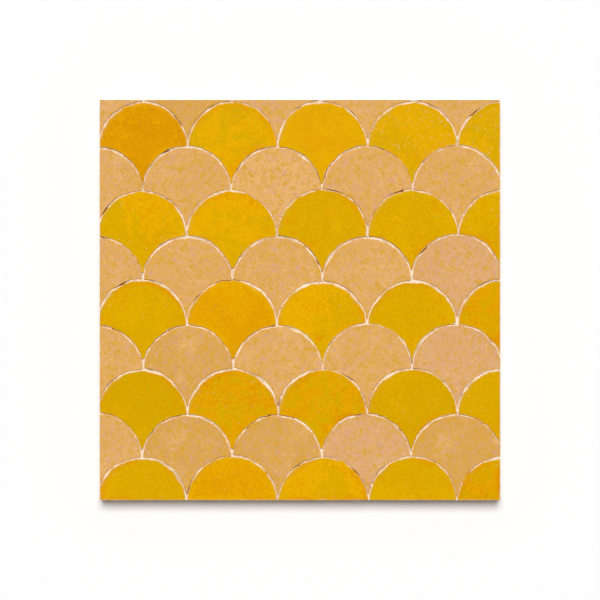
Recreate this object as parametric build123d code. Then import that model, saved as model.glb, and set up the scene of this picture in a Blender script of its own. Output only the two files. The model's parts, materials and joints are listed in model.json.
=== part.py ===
"""Square mosaic tile of fish-scale pieces, yellow glazed rows and bare clay rows, in a cast mortar bed.

The panel lies on its back. Its origin is the middle of the back, +Z rises through the face, +X runs
along the rows, and +Y points to the edge that the rounded crowns of the scales face.
"""

import os
from math import radians, tan

from build123d import *

# Driving dimensions, in millimetres and degrees.
scales_across = 5  # scales in a row, one of them cut in half, and also rows of each colour
scale_width = 65.2  # one scale from flank to flank, at its face
scale_thickness = 10.0  # face to back of one scale
side_gap = 2.2  # between neighbouring scales of one row, where they come closest
joint_width = 1.3  # mortar joint between a crown and the hollows that sit on it, at the face
neck_length = 6.6  # mortar from the blunt end of a scale's tail down to the crown below it
joint_recess = 0.8  # depth of the joints below the faces
bed_thickness = 5.0  # mortar behind the scales
flank_angle = 3.5  # the chiselled flanks lean in by this much towards the back
row_tuck = 0.3  # the rows are set this much closer than half a pitch
crown_margin = 2.4  # from the panel's top edge to the crowns of the first yellow row
end_trim = 0.55  # taken off the outermost flanks where the panel was cut square

# Sizes that follow from them.
pitch = scale_width + side_gap
row_step = pitch / 2 - row_tuck
crown_radius = scale_width / 2
hollow_radius = crown_radius + joint_width
tail_reach = 2 * row_step - crown_radius - neck_length
face_height = bed_thickness + scale_thickness
joint_height = face_height - joint_recess

# Each row is shifted by half a pitch from the next, so every row holds one half scale: at the right end
# of the yellow rows and at the left end of the clay rows. The panel runs from the first whole yellow
# scale to the last whole clay scale, and it is square.
columns_span = (scales_across - 1.5) * pitch
panel_side = columns_span + scale_width - 2 * end_trim
first_yellow_x = -columns_span / 2
first_yellow_y = panel_side / 2 - crown_margin - crown_radius

# Cutters run past the faces that they cut, so that no two faces are left lying in one plane.
cutter_overrun = 1.0


def flank_cone(radius_at_face, lean, overrun=0.0):
    """A cone about the Z axis, through a scale's thickness, whose radius changes by lean per millimetre down."""
    bottom = bed_thickness - overrun
    top = face_height + overrun
    radius_at_bottom = radius_at_face + lean * (face_height - bottom)
    radius_at_top = radius_at_face + lean * (face_height - top)
    cone = Cone(radius_at_bottom, radius_at_top, top - bottom, align=(Align.CENTER, Align.CENTER, Align.MIN))
    return cone.moved(Location((0, 0, bottom)))


def whole_scale():
    """One scale about its crown's centre: a disc, less the crowns of the two scales that sit below it.

    The chisel ends its tail bluntly, a neck of mortar above the next crown.
    """
    slope = tan(radians(flank_angle))
    crown = flank_cone(crown_radius, -slope)
    hollow = flank_cone(hollow_radius, slope, cutter_overrun)
    right_hollow = hollow.moved(Location((pitch / 2, -row_step, 0)))
    left_hollow = hollow.moved(Location((-pitch / 2, -row_step, 0)))
    cut_off = panel_block(face_height + cutter_overrun)
    tail_cut = cut_off.moved(Location((0, -tail_reach - panel_side / 2, 0)))
    return crown - right_hollow - left_hollow - tail_cut


def panel_block(height):
    """The square panel as a plain block that stands on the origin's plane."""
    return Box(panel_side, panel_side, height, align=(Align.CENTER, Align.CENTER, Align.MIN))


def trimmed_to_panel(scale):
    """The part of a scale that lies within the panel."""
    inside = scale & panel_block(face_height)
    return max(inside.solids(), key=lambda solid: solid.volume)


def lay_rows(colour, first_x, first_y):
    """Lays every row of one colour over the panel.

    Gives a list of (node name, whole scale in its place, the part of it within the panel). Rows are
    counted from the top edge and columns from the left edge.
    """
    pattern = whole_scale()
    laid = []
    for row in range(scales_across):
        for column in range(scales_across):
            place = Location((first_x + column * pitch, first_y - row * 2 * row_step, 0))
            scale = pattern.moved(place)
            name = f"{colour}_scale_{row + 1}_{column + 1}"
            laid.append((name, scale, trimmed_to_panel(scale)))
    return laid


def mortar_bed(scales):
    """The bed that was cast round the scales: it carries their backs and rises between them as the joints."""
    return panel_block(joint_height) - scales


yellow_rows = lay_rows("yellow", first_yellow_x, first_yellow_y)
clay_rows = lay_rows("clay", first_yellow_x - pitch / 2, first_yellow_y + row_step)
laid_scales = yellow_rows + clay_rows

os.makedirs("parts", exist_ok=True)
for name, _, kept in laid_scales:
    export_step(kept, f"parts/{name}.step")
bed = mortar_bed([scale for _, scale, _ in laid_scales])
export_step(bed, "parts/mortar_bed.step")
print(len(yellow_rows), "yellow and", len(clay_rows), "clay scales, bed solids:", len(bed.solids()))
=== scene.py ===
"""Fish-scale mosaic tile, dressed for the studio.

Hand-cut scales, yellow glazed and bare clay, lie in a pale mortar bed. One Geometry Nodes tree cuts every
scale and another casts the bed round them. Lengths are in metres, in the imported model's own frame: the
panel lies on its back, +Z rises through its face and +Y points to its top edge.
"""

import itertools
import json
import logging
import math
import random
from dataclasses import dataclass, replace
from enum import Enum

import bpy
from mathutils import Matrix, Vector

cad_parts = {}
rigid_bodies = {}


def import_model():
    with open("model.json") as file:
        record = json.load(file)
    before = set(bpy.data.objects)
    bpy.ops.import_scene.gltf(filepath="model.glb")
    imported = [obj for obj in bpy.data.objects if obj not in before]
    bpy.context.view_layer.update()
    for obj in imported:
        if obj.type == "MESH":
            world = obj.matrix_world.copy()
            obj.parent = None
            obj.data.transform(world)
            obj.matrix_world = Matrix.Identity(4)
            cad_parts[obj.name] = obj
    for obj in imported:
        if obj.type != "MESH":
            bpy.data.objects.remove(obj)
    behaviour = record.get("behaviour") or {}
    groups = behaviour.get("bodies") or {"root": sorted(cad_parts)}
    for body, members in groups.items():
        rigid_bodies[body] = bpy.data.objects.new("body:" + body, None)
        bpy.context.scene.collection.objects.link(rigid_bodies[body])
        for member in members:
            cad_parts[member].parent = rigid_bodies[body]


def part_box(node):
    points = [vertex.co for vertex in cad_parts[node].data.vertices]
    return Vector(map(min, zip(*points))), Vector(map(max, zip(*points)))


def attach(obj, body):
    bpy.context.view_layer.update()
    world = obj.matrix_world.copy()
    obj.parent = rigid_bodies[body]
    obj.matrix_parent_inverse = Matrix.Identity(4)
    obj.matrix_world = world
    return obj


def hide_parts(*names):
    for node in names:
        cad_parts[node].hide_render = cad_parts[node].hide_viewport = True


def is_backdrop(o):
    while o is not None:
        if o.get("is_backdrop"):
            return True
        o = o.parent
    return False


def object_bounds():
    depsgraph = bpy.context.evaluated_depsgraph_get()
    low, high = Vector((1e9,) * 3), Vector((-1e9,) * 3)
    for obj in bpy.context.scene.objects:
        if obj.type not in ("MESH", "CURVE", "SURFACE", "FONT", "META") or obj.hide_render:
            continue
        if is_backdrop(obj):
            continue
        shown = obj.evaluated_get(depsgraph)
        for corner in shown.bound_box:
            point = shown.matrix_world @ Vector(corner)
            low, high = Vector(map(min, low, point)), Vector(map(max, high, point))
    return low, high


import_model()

LOG = logging.getLogger("mosaic_tile")
MM = 0.001
BODY = "root"
FAR_AWAY = 1.0
Socket = bpy.types.NodeSocket
Feed = Socket | float | int | str | tuple | Vector | bpy.types.ID
Colour = tuple[float, float, float, float]


def paint(red: int, green: int, blue: int) -> Colour:
    """Turns a colour as a screen shows it into the linear colour that a shader takes.

    Args:
        red: Level from 0 to 255.
        green: Level from 0 to 255.
        blue: Level from 0 to 255.

    Returns:
        The linear colour, opaque.
    """
    shares = [level / 255 for level in (red, green, blue)]
    linear = [s / 12.92 if s <= 0.04045 else ((s + 0.055) / 1.055) ** 2.4 for s in shares]
    return (*linear, 1.0)


class Wiring:
    """Adds nodes to one tree and links them, so that a tree reads like the sum that it works out."""

    def __init__(self, tree: bpy.types.NodeTree) -> None:
        """Takes the tree that the nodes go into."""
        self.tree = tree

    def node(self, kind: str, feeds: dict[str, Feed] | None = None, **settings: object) -> bpy.types.Node:
        """Adds one node.

        Args:
            kind: Blender's name for the node type.
            feeds: What goes into its sockets, by socket identifier.
            **settings: The node's own properties.

        Returns:
            The new node.
        """
        node = self.tree.nodes.new(kind)
        for name, value in settings.items():
            setattr(node, name, value)
        sockets = {socket.identifier: socket for socket in node.inputs}
        for name, value in (feeds or {}).items():
            self.feed(sockets[name], value)
        return node

    def shape(self, kind: str, feeds: dict[str, Feed], **settings: object) -> Socket:
        """Adds one node that makes or changes a shape, and gives the shape."""
        return self.node(f"GeometryNode{kind}", feeds, **settings).outputs[0]

    def feed(self, socket: Socket, value: Feed) -> None:
        """Links a socket to another one, or sets it where the value is plain.

        Args:
            socket: The input socket.
            value: An output socket, or a plain value.
        """
        if isinstance(value, bpy.types.NodeSocket):
            self.tree.links.new(value, socket)
        else:
            socket.default_value = value

    def math(self, operation: str, *values: Feed) -> Socket:
        """Works out one sum of plain numbers.

        Args:
            operation: Blender's name for the sum.
            *values: Its one to three terms.

        Returns:
            The result's socket.
        """
        node = self.node("ShaderNodeMath", operation=operation)
        for socket, value in zip(node.inputs, values):
            self.feed(socket, value)
        return node.outputs[0]

    def total(self, *values: Feed) -> Socket:
        """Adds up several numbers.

        Args:
            *values: Two terms or more.

        Returns:
            The sum's socket.
        """
        result = values[0]
        for value in values[1:]:
            result = self.math("ADD", result, value)
        return result

    def times(self, *values: Feed) -> Socket:
        """Multiplies several numbers.

        Args:
            *values: Two factors or more.

        Returns:
            The product's socket.
        """
        result = values[0]
        for value in values[1:]:
            result = self.math("MULTIPLY", result, value)
        return result

    def rest(self, share: Feed) -> Socket:
        """Gives what a share leaves of 1."""
        return self.math("SUBTRACT", 1.0, share)

    def vector(self, operation: str, *values: Feed) -> Socket:
        """Works out one sum of vectors.

        Args:
            operation: Blender's name for the sum.
            *values: Its terms. The second term of SCALE is a number.

        Returns:
            The result's socket, a number for DOT_PRODUCT and a vector otherwise.
        """
        node = self.node("ShaderNodeVectorMath", operation=operation)
        sockets = [node.inputs[0], node.inputs["Scale"]] if operation == "SCALE" else node.inputs
        for socket, value in zip(sockets, values):
            self.feed(socket, value)
        return node.outputs["Value" if operation == "DOT_PRODUCT" else "Vector"]

    def split(self, place: Socket) -> list[Socket]:
        """Gives the X, Y and Z of a vector."""
        return list(self.node("ShaderNodeSeparateXYZ", {"Vector": place}).outputs)

    def join(self, x: Feed, y: Feed, z: Feed) -> Socket:
        """Makes a vector from its X, Y and Z."""
        return self.node("ShaderNodeCombineXYZ", {"X": x, "Y": y, "Z": z}).outputs[0]

    def between(self, value: Feed, start: float, end: float, low: float = 0.0, high: float = 1.0) -> Socket:
        """Maps a stretch of a number's range to another, and holds it at the ends.

        Args:
            value: The number.
            start: Where the stretch starts.
            end: Where the stretch ends.
            low: The result at the start.
            high: The result at the end.

        Returns:
            The mapped number's socket.
        """
        feeds = {"Value": value, "From Min": start, "From Max": end, "To Min": low, "To Max": high}
        return self.node("ShaderNodeMapRange", feeds, clamp=True).outputs["Result"]

    def blend(self, share: Feed, first: Feed, second: Feed) -> Socket:
        """Goes from the first number to the second as the share goes from 0 to 1."""
        feeds = {"Factor_Float": share, "A_Float": first, "B_Float": second}
        return self.node("ShaderNodeMix", feeds, data_type="FLOAT").outputs[0]

    def tint(self, share: Feed, first: Feed, second: Feed, way: str = "MIX") -> Socket:
        """Lays a second colour over a first.

        Args:
            share: How much of the second colour shows, from 0 to 1.
            first: The colour below.
            second: The colour on top.
            way: Blender's name for the way of mixing.

        Returns:
            The mixed colour's socket.
        """
        feeds = {"Factor_Float": share, "A_Color": first, "B_Color": second}
        node = self.node("ShaderNodeMix", feeds, data_type="RGBA", blend_type=way)
        return next(socket for socket in node.outputs if socket.identifier == "Result_Color")

    def dim(self, colour: Feed, shade: Socket) -> Socket:
        """Multiplies a colour by a number."""
        return self.tint(1.0, colour, self.join(shade, shade, shade), "MULTIPLY")

    def noise(
        self, place: Socket, grain: float, detail: float = 2.0, rough: float = 0.5, seed: Feed = 0.0
    ) -> Socket:
        """Gives soft random clouds from about 0.2 to 0.8.

        Args:
            place: Where to look.
            grain: Size of the largest clouds.
            detail: How many finer layers lie on them.
            rough: How strong the finer layers are.
            seed: Picks another cloudscape.

        Returns:
            The cloud's socket.
        """
        feeds = {"Vector": place, "W": seed, "Scale": 1 / grain, "Detail": detail, "Roughness": rough}
        return self.node("ShaderNodeTexNoise", feeds, noise_dimensions="4D").outputs["Fac"]

    def swing(
        self, place: Socket, grain: float, detail: float = 2.0, rough: float = 0.5, seed: Feed = 0.0
    ) -> Socket:
        """Gives the same clouds as noise, about -0.6 to 0.6 and 0 on the whole."""
        return self.math("MULTIPLY_ADD", self.noise(place, grain, detail, rough, seed), 2.0, -1.0)


class PlannedTree:
    """A Geometry Nodes tree with named inputs, which runs on a bare object and leaves a plain mesh."""

    def __init__(self, name: str, sockets: dict[str, str]) -> None:
        """Starts the tree.

        Args:
            name: The tree's name.
            sockets: Its inputs, as socket kinds by name.
        """
        self.tree = bpy.data.node_groups.new(name, "GeometryNodeTree")
        self.tree.interface.new_socket("Geometry", in_out="OUTPUT", socket_type="NodeSocketGeometry")
        self.identifiers = {}
        for socket_name, kind in sockets.items():
            socket = self.tree.interface.new_socket(socket_name, in_out="INPUT", socket_type=kind)
            self.identifiers[socket_name] = socket.identifier
        self.wiring = Wiring(self.tree)
        self.given = self.wiring.node("NodeGroupInput").outputs

    def hand_out(self, geometry: Socket) -> None:
        """Ends the tree with this geometry."""
        self.wiring.feed(self.wiring.node("NodeGroupOutput").inputs[0], geometry)

    def start(self, name: str, values: dict[str, object]) -> bpy.types.Object:
        """Puts the tree on a new bare object.

        Args:
            name: The object's name.
            values: A value for every input, by name.

        Returns:
            The object, not yet evaluated.
        """
        bare = bpy.data.objects.new(name, bpy.data.meshes.new(name))
        modifier = bare.modifiers.new("shape", "NODES")
        modifier.node_group = self.tree
        for socket_name, value in values.items():
            modifier[self.identifiers[socket_name]] = value
        bpy.context.scene.collection.objects.link(bare)
        return bare

    @staticmethod
    def settle(piece: bpy.types.Object) -> None:
        """Turns what the tree made into the object's own plain mesh, with no finish that it doesn't wear.

        Args:
            piece: An object that the tree was put on.
        """
        evaluated = piece.evaluated_get(bpy.context.evaluated_depsgraph_get())
        mesh = bpy.data.meshes.new_from_object(evaluated)
        bare = piece.data
        piece.modifiers.clear()
        piece.data = mesh
        bpy.data.meshes.remove(bare)
        used = {face.material_index for face in mesh.polygons}
        for number in reversed(range(len(mesh.materials))):
            if number not in used:
                mesh.materials.pop(index=number)
        mesh.name = piece.name


class ScaleColour(Enum):
    """The two kinds of rows."""

    YELLOW = "yellow"
    CLAY = "clay"


class GlazeTone(Enum):
    """How the kiln turned a yellow glaze."""

    MUSTARD = "mustard"
    SAFFRON = "saffron"
    AMBER = "amber"
    RUSSET = "russet"
    MARBLED = "marbled"
    WORN = "worn"
    OCHRE = "ochre"
    GOLD = "gold"


class ClayTone(Enum):
    """How the kiln turned a bare clay face."""

    SAND = "sand"
    HONEY = "honey"
    ROSE = "rose"
    PALE = "pale"


@dataclass(frozen=True)
class ScalePattern:
    """Where every scale lies in the panel, and the outline that it is cut to."""

    panel_half: float
    back_height: float
    face_height: float
    scales_across: int = 5
    scale_width: float = 65.2 * MM
    side_gap: float = 2.2 * MM
    joint_width: float = 1.3 * MM
    neck_length: float = 7.0 * MM
    neck_width: float = 1.2 * MM
    row_tuck: float = 0.3 * MM
    crown_margin: float = 2.4 * MM
    flank_angle: float = math.radians(3.5)
    yellow_row_lifts: tuple[float, ...] = (0.5 * MM, 0.7 * MM, -0.3 * MM, -0.7 * MM, 0.9 * MM)
    stray: float = 1.0 * MM
    radius_spread: float = 0.5 * MM
    yellow_fullness: float = 0.2 * MM
    clay_fullness: float = -0.3 * MM

    @property
    def pitch(self) -> float:
        """From one scale of a row to the next."""
        return self.scale_width + self.side_gap

    @property
    def row_step(self) -> float:
        """From one row to the next, of the other colour."""
        return self.pitch / 2 - self.row_tuck

    @property
    def crown_radius(self) -> float:
        """Of a scale's round top."""
        return self.scale_width / 2

    @property
    def tail_reach(self) -> float:
        """From the middle of a scale's crown to the blunt end of its tail."""
        return 2 * self.row_step - self.crown_radius - self.neck_length

    def centre(self, colour: ScaleColour, row: int, column: int) -> Vector:
        """Finds the mark that the middle of a scale's crown is laid on.

        Args:
            colour: Which kind of row.
            row: Counted from 1 at the panel's top edge.
            column: Counted from 1 at the panel's left edge.

        Returns:
            The place on the panel, at height 0.
        """
        x = (column - 1 - (self.scales_across - 1.5) / 2) * self.pitch
        y = self.panel_half - self.crown_margin - self.crown_radius - (row - 1) * 2 * self.row_step
        if colour is ScaleColour.CLAY:
            x -= self.pitch / 2
            y += self.row_step
        return Vector((x, y, 0.0))

    def laid(self, colour: ScaleColour, row: int, column: int) -> tuple[Vector, float]:
        """Finds where the setter's hand laid the scale, a little off its mark, and how large it was cut.

        Args:
            colour: Which kind of row.
            row: Counted from 1 at the panel's top edge.
            column: Counted from 1 at the panel's left edge.

        Returns:
            The place of the middle of its crown, at height 0, and its crown's radius.
        """
        chance = random.Random(f"{colour.value} {row} {column}")
        astray = Vector((chance.uniform(-1, 1), chance.uniform(-1, 1), 0.0)) * self.stray
        lifts = self.yellow_row_lifts if colour is ScaleColour.YELLOW else ()
        if 1 <= row <= len(lifts):
            astray.y += lifts[row - 1]
        radius = self.usual_radius(colour) + chance.uniform(-1, 1) * self.radius_spread
        return self.centre(colour, row, column) + astray, radius

    def flares(self, colour: ScaleColour, row: int, column: int) -> list[float]:
        """Finds how far a crown is let out at its left and its right, to leave narrow necks beside it.

        Args:
            colour: Which kind of row.
            row: Counted from 1 at the panel's top edge.
            column: Counted from 1 at the panel's left edge.

        Returns:
            The lengths by which the crown's left and right reach beyond its round.
        """
        place, radius = self.laid(colour, row, column)
        found = []
        for beside in (column - 1, column + 1):
            other, its_radius = self.laid(colour, row, beside)
            found.append(((other - place).length - radius - its_radius - self.neck_width) / 2)
        return found

    def usual_radius(self, colour: ScaleColour) -> float:
        """Gives the crown's radius that most scales of a colour were cut to."""
        fullness = self.yellow_fullness if colour is ScaleColour.YELLOW else self.clay_fullness
        return self.crown_radius + fullness

    def below(self, colour: ScaleColour, row: int, column: int) -> list[tuple[ScaleColour, int, int]]:
        """Names the two scales, left and right, whose crowns a scale's hollows sit on.

        Args:
            colour: Which kind of row.
            row: Counted from 1 at the panel's top edge.
            column: Counted from 1 at the panel's left edge.

        Returns:
            The colour, row and column of each.
        """
        if colour is ScaleColour.YELLOW:
            return [(ScaleColour.CLAY, row + 1, column), (ScaleColour.CLAY, row + 1, column + 1)]
        return [(ScaleColour.YELLOW, row, column - 1), (ScaleColour.YELLOW, row, column)]


@dataclass(frozen=True)
class Clouds:
    """Soft random clouds of one size, and the stretch of their range that shows."""

    size: float
    detail: float
    rough: float
    start: float = 0.3
    end: float = 0.7
    low: float = 0.0
    high: float = 1.0
    shift: float = 0.0

    def drift(self, wiring: Wiring, place: Socket, seed: Feed = 0.0) -> Socket:
        """Gives the clouds as they are.

        Args:
            wiring: The material's wiring.
            place: Where to look.
            seed: The piece's seed.

        Returns:
            The clouds' socket, from about 0.2 to 0.8.
        """
        picked = wiring.total(seed, self.shift) if self.shift else seed
        return wiring.noise(place, self.size, self.detail, self.rough, picked)

    def shown(self, wiring: Wiring, drift: Socket) -> Socket:
        """Maps the clouds from start to end onto low to high."""
        return wiring.between(drift, self.start, self.end, self.low, self.high)

    def mask(self, wiring: Wiring, place: Socket, seed: Feed = 0.0) -> Socket:
        """Gives the clouds as far as they show."""
        return self.shown(wiring, self.drift(wiring, place, seed))


def new_material(name: str) -> tuple[bpy.types.Material, Wiring, bpy.types.Node]:
    """Starts a material with one shader.

    Args:
        name: The material's name.

    Returns:
        The material, its wiring and its shader node.
    """
    material = bpy.data.materials.new(name)
    material.use_nodes = True
    material.node_tree.nodes.clear()
    wiring = Wiring(material.node_tree)
    shader = wiring.node("ShaderNodeBsdfPrincipled")
    output = wiring.node("ShaderNodeOutputMaterial")
    wiring.feed(output.inputs["Surface"], shader.outputs["BSDF"])
    return material, wiring, shader


def stored(wiring: Wiring, name: str) -> Socket:
    """Reads a number that the chisel stored on the piece."""
    return wiring.node("ShaderNodeAttribute", attribute_name=name).outputs["Fac"]


def own_place(wiring: Wiring) -> tuple[Socket, Socket]:
    """Finds the place on a scale and the scale's own seed, so that no two scales are clouded alike.

    Args:
        wiring: The material's wiring.

    Returns:
        The place and the seed.
    """
    place = wiring.node("ShaderNodeTexCoord").outputs["Object"]
    return place, stored(wiring, "piece_seed")


def bump(wiring: Wiring, shader: bpy.types.Node, height: Socket, strength: float = 0.6) -> None:
    """Gives a shader its fine relief.

    Args:
        wiring: The material's wiring.
        shader: The shader node.
        height: The relief's height, in metres.
        strength: How much of the relief shows.
    """
    feeds = {"Strength": strength, "Distance": 1.0, "Height": height}
    relief = wiring.node("ShaderNodeBump", feeds)
    wiring.feed(shader.inputs["Normal"], relief.outputs["Normal"])


BROAD_CLOUDS = Clouds(40 * MM, 9, 0.76, 0.50, 0.52)
SMALL_CLOUDS = replace(BROAD_CLOUDS, size=8 * MM)
FEW_SPECKS = Clouds(2.6 * MM, 4, 0.7, 0.65, 0.70, 0.0, 0.4, shift=7.0)
MANY_SPECKS = replace(FEW_SPECKS, start=0.575, end=0.625)


@dataclass(frozen=True)
class YellowGlaze:
    """A yellow lead glaze on clay: clouded, freckled, pinholed, and chipped along its rim."""

    tone: GlazeTone
    ground: Colour
    cloud: Colour
    fleck: Colour
    clouds: Clouds = BROAD_CLOUDS
    worn_specks: Clouds = FEW_SPECKS
    chip: Colour = paint(226, 180, 112)
    # Painted highlight: the pale line along the left edges of the crowns.
    rim_highlight: Colour = paint(204, 166, 66)
    flecks: Clouds = Clouds(16 * MM, 6, 0.80, 0.59, 0.62, 0.0, 0.8)
    freckles: Clouds = Clouds(2.1 * MM, 3, 0.8, 0.545, 0.565, shift=2.0)
    freckled_parts: Clouds = Clouds(24 * MM, 3, 0.6, 0.42, 0.60, shift=4.0)
    glints: Clouds = Clouds(1.8 * MM, 3, 0.8, 0.545, 0.565, 0.0, 0.7, shift=9.0)
    grain: Clouds = Clouds(1.9 * MM, 3, 0.65, low=0.91, high=1.09)
    gloss: Clouds = Clouds(9 * MM, 3, 0.6, low=0.10, high=0.19)
    ripples: Clouds = Clouds(5 * MM, 2, 0.5)
    ragged: Clouds = Clouds(4 * MM, 3, 0.6)
    pinholed_parts: Clouds = Clouds(20 * MM, 2, 0.5, 0.54, 0.64)
    pinhole_spacing: float = 3.2 * MM
    pinhole_radii: tuple[float, float] = (0.16, 0.30)
    pinhole_share: float = 0.5
    thin_stretches: Clouds = Clouds(34 * MM, 2, 0.5, 0.50, 0.62, 0.0, 0.75, shift=13.0)
    thin_breadth: Clouds = Clouds(3 * MM, 4, 0.8, 0.35, 0.65, 1 * MM, 8 * MM, shift=15.0)
    thin_fade: tuple[float, float] = (0.6, 1.0)
    chip_stretch: tuple[float, float] = (0.35, 0.70)
    chip_bites: tuple[float, float] = (0.05 * MM, 1.0 * MM)
    chip_blur: float = 0.15 * MM
    line_waver: tuple[float, float] = (0.3, 0.7)
    line_insets: tuple[float, float] = (1.5 * MM, 2.1 * MM)
    line_breadths: tuple[float, float] = (0.15 * MM, 0.45 * MM)
    line_breaks: tuple[float, float] = (0.40, 0.50)
    line_sides: tuple[float, float] = (0.45, 0.75)
    faint_line: float = 0.25
    highlight_share: float = 0.75
    ripple_height: float = 0.10 * MM
    grain_height: float = 0.03 * MM
    pinhole_depth: float = 0.12 * MM
    chip_depth: float = 0.20 * MM
    bare_roughness: float = 0.85
    shine: float = 0.3

    def material(self) -> bpy.types.Material:
        """Mixes the glaze.

        Returns:
            The material.
        """
        material, wiring, shader = new_material(f"yellow_glaze_{self.tone.value}")
        place, seed = own_place(wiring)
        rim = stored(wiring, "rim_distance")
        grain = self.grain.drift(wiring, place, seed)
        ragged = self.ragged.drift(wiring, place, seed)
        pinholes = self.pinholes(wiring, place, seed)
        chips = self.chips(wiring, rim, ragged)
        line = self.painted_rim_highlight(wiring, rim, ragged)
        colour = self.fired_colour(wiring, place, seed)
        colour = wiring.tint(self.thin_edges(wiring, place, seed, rim), colour, self.fleck)
        colour = wiring.tint(self.worn_specks.mask(wiring, place, seed), colour, self.chip)
        colour = wiring.dim(colour, self.grain.shown(wiring, grain))
        colour = wiring.tint(wiring.times(pinholes, self.pinhole_share), colour, self.chip)
        # Paints the highlight line along the crowns' left edges.
        colour = wiring.tint(wiring.times(line, self.highlight_share), colour, self.rim_highlight)
        colour = wiring.tint(chips, colour, self.chip)
        wiring.feed(shader.inputs["Base Color"], colour)
        bare = wiring.math("MAXIMUM", chips, pinholes)
        rough = wiring.blend(bare, self.gloss.mask(wiring, place, seed), self.bare_roughness)
        wiring.feed(shader.inputs["Roughness"], rough)
        skin = wiring.total(
            wiring.times(self.ripples.drift(wiring, place, seed), self.ripple_height),
            wiring.times(grain, self.grain_height),
            wiring.times(pinholes, -self.pinhole_depth),
            wiring.times(chips, -self.chip_depth),
        )
        bump(wiring, shader, skin)
        shader.inputs["Specular IOR Level"].default_value = self.shine
        return material

    def fired_colour(self, wiring: Wiring, place: Socket, seed: Socket) -> Socket:
        """Clouds, flecks and freckles the glaze, as the kiln did.

        Args:
            wiring: The material's wiring.
            place: Where to look.
            seed: The piece's seed.

        Returns:
            The colour.
        """
        colour = wiring.tint(self.clouds.mask(wiring, place, seed), self.ground, self.cloud)
        colour = wiring.tint(self.flecks.mask(wiring, place, seed), colour, self.fleck)
        freckled = self.freckled_parts.mask(wiring, place, seed)
        freckles = wiring.times(self.freckles.mask(wiring, place, seed), freckled)
        colour = wiring.tint(freckles, colour, self.fleck)
        glints = wiring.times(self.glints.mask(wiring, place, seed), wiring.rest(freckled))
        return wiring.tint(glints, colour, self.cloud)

    def pinholes(self, wiring: Wiring, place: Socket, seed: Socket) -> Socket:
        """Strews pinholes over some parts of the face.

        Args:
            wiring: The material's wiring.
            place: Where to look.
            seed: The piece's seed.

        Returns:
            1 in a pinhole and 0 beside it.
        """
        feeds = {"Vector": place, "W": seed, "Scale": 1 / self.pinhole_spacing}
        cells = wiring.node("ShaderNodeTexVoronoi", feeds, voronoi_dimensions="4D")
        spots = wiring.between(cells.outputs["Distance"], *self.pinhole_radii, 1.0, 0.0)
        return wiring.times(spots, self.pinholed_parts.mask(wiring, place, seed))

    def thin_edges(self, wiring: Wiring, place: Socket, seed: Socket, rim: Socket) -> Socket:
        """Finds stretches along the edge where the glaze ran thin and fired to a warmer tone.

        Args:
            wiring: The material's wiring.
            place: Where to look.
            seed: The piece's seed.
            rim: Distance from the scale's outline.

        Returns:
            How thin the glaze is.
        """
        breadth = self.thin_breadth.mask(wiring, place, seed)
        inside = wiring.between(wiring.math("DIVIDE", rim, breadth), *self.thin_fade, 1.0, 0.0)
        return wiring.times(inside, self.thin_stretches.mask(wiring, place, seed))

    def chips(self, wiring: Wiring, rim: Socket, ragged: Socket) -> Socket:
        """Chips the glaze off the very edge.

        Args:
            wiring: The material's wiring.
            rim: Distance from the scale's outline.
            ragged: Clouds that make the chips uneven.

        Returns:
            1 where the clay shows and 0 where the glaze holds.
        """
        bite = wiring.between(ragged, *self.chip_stretch, *self.chip_bites)
        beyond = wiring.math("SUBTRACT", rim, bite)
        return wiring.between(beyond, -self.chip_blur, self.chip_blur, 1.0, 0.0)

    def painted_rim_highlight(self, wiring: Wiring, rim: Socket, ragged: Socket) -> Socket:
        """Paints a fine highlight line a little way in from the left edge of a crown, where light would
        catch its rounded rim.

        Args:
            wiring: The material's wiring.
            rim: Distance from the scale's outline.
            ragged: Clouds that make the line waver.

        Returns:
            1 on the line and 0 beside it.
        """
        middle = wiring.between(ragged, *self.line_waver, *self.line_insets)
        off = wiring.math("ABSOLUTE", wiring.math("SUBTRACT", rim, middle))
        line = wiring.between(off, *self.line_breadths, 1.0, 0.0)
        side = wiring.between(stored(wiring, "facing_left"), *self.line_sides)
        return wiring.times(line, side, wiring.between(ragged, *self.line_breaks, self.faint_line, 1.0))


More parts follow.
